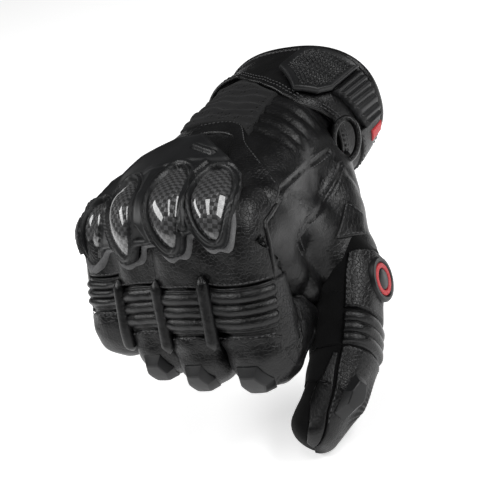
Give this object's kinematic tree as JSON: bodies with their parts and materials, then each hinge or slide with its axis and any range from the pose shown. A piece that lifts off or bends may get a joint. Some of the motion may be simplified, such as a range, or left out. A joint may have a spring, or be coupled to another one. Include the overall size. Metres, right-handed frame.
{
  "type": "motorcycle riding glove",
  "caption": "Short-cuff right-hand leather riding glove curled as on a grip, with a moulded knuckle guard, accordion finger panels, thumb badge and hook-and-loop wrist strap.",
  "frame": {"origin": "centre of the cuff's mouth, in the plane of the bound edge", "axes": "+Y out of the cuff's mouth, the knuckles towards -Y, +Z the back of the hand, +X the thumb side"},
  "size_m": [0.1168, 0.1615, 0.1265],
  "materials": {
    "smooth_leather": "satin, fine creases",
    "grained_leather": "satin, pebbled grain",
    "suede": "dull nap",
    "stretch_fabric": "dull gathered weave",
    "moulded_tpu": "satin moulded, slightly speckled",
    "carbon_insert": "clear gloss over a twill weave",
    "hook_and_loop": "fuzzy",
    "red_rubber": "satin"
  },
  "bodies": {
    "hand": {"back_panel": "smooth_leather", "palm_panel": "suede", "stretch_panel": "stretch_fabric", "side_band": "smooth_leather", "palm_patch": "suede", "thumb_back_patch": "grained_leather", "knuckle_guard": "moulded_tpu", "index_insert": "carbon_insert", "middle_insert": "carbon_insert", "ring_insert": "carbon_insert", "little_insert": "carbon_insert", "cuff_shell": "grained_leather", "cuff_binding": "grained_leather", "closure_patch": "hook_and_loop", "strap_base": "smooth_leather", "red_tab": "red_rubber", "wrist_loop": "grained_leather"},
    "index": {"index_sleeve": "grained_leather", "index_flex_panel": "grained_leather", "index_fourchette": "grained_leather"},
    "index_tip": {"index_fingertip": "grained_leather", "index_tip_panel": "grained_leather", "index_cap": "moulded_tpu"},
    "middle": {"middle_sleeve": "grained_leather", "middle_flex_panel": "grained_leather", "middle_fourchette": "grained_leather"},
    "middle_tip": {"middle_fingertip": "grained_leather", "middle_tip_panel": "grained_leather", "middle_cap": "moulded_tpu"},
    "ring": {"ring_sleeve": "grained_leather", "ring_flex_panel": "grained_leather", "ring_fourchette": "grained_leather"},
    "ring_tip": {"ring_fingertip": "grained_leather", "ring_tip_panel": "grained_leather", "ring_cap": "moulded_tpu"},
    "little": {"little_sleeve": "grained_leather", "little_flex_panel": "grained_leather", "little_side_pad": "grained_leather"},
    "little_tip": {"little_fingertip": "grained_leather", "little_tip_panel": "grained_leather"},
    "thumb": {"thumb_sleeve": "grained_leather", "thumb_flex_panel": "grained_leather", "thumb_badge": "moulded_tpu", "badge_ring": "red_rubber"},
    "thumb_tip": {"thumb_fingertip": "grained_leather", "thumb_cap": "moulded_tpu"},
    "strap": {"strap_ribs": "moulded_tpu"},
    "strap_end": {"wrist_plate": "moulded_tpu", "hook_patch": "hook_and_loop"}
  },
  "joints": [
    {"name": "index_knuckle", "type": "hinge", "parent": "hand", "child": "index", "pos_m": [0.035, -0.1364, -0.002], "axis": [1, 0, 0], "range_deg": [-40, 4], "stiffness_Nm_per_rad": 0.2},
    {"name": "index_middle_joint", "type": "hinge", "parent": "index", "child": "index_tip", "pos_m": [0.035, -0.14638, -0.04895], "axis": [0.9925, 0.1192, -0.0253], "range_deg": [-70, 3], "stiffness_Nm_per_rad": 0.15},
    {"name": "middle_knuckle", "type": "hinge", "parent": "hand", "child": "middle", "pos_m": [0.0115, -0.1394, 0.002], "axis": [1, 0, 0], "range_deg": [-40, 4], "stiffness_Nm_per_rad": 0.2},
    {"name": "middle_middle_joint", "type": "hinge", "parent": "middle", "child": "middle_tip", "pos_m": [0.0115, -0.15, -0.04789], "axis": [0.9986, 0.0512, -0.0109], "range_deg": [-70, 3], "stiffness_Nm_per_rad": 0.15},
    {"name": "ring_knuckle", "type": "hinge", "parent": "hand", "child": "ring", "pos_m": [-0.012, -0.1334, 0], "axis": [1, 0, 0], "range_deg": [-40, 4], "stiffness_Nm_per_rad": 0.2},
    {"name": "ring_middle_joint", "type": "hinge", "parent": "ring", "child": "ring_tip", "pos_m": [-0.012, -0.14317, -0.04597], "axis": [1, 0, 0], "range_deg": [-70, 3], "stiffness_Nm_per_rad": 0.15},
    {"name": "little_knuckle", "type": "hinge", "parent": "hand", "child": "little", "pos_m": [-0.0346, -0.1234, -0.007], "axis": [0.9976, -0.0698, 0], "range_deg": [-40, 4], "stiffness_Nm_per_rad": 0.2},
    {"name": "little_middle_joint", "type": "hinge", "parent": "little", "child": "little_tip", "pos_m": [-0.03538, -0.1345, -0.04124], "axis": [0.9946, -0.1028, 0.0108], "range_deg": [-70, 3], "stiffness_Nm_per_rad": 0.15},
    {"name": "thumb_knuckle", "type": "hinge", "parent": "hand", "child": "thumb", "pos_m": [0.0502, -0.088, -0.0477], "axis": [-0.2335, 0.5596, -0.7952], "range_deg": [-16, 10], "stiffness_Nm_per_rad": 0.25},
    {"name": "thumb_tip_joint", "type": "hinge", "parent": "thumb", "child": "thumb_tip", "pos_m": [0.05607, -0.12118, -0.07277], "axis": [-0.2335, 0.5596, -0.7952], "range_deg": [-14, 30], "stiffness_Nm_per_rad": 0.15},
    {"name": "strap_swing", "type": "hinge", "parent": "hand", "child": "strap", "pos_m": [0.04063, -0.01617, -0.00822], "axis": [0.1614, 0.9867, -0.0185], "range_deg": [0, 80]},
    {"name": "strap_peel", "type": "hinge", "parent": "strap", "child": "strap_end", "pos_m": [0.03632, -0.0214, 0.01644], "axis": [0.1476, 0.9883, 0.0376], "range_deg": [0, 75]}
  ]
}
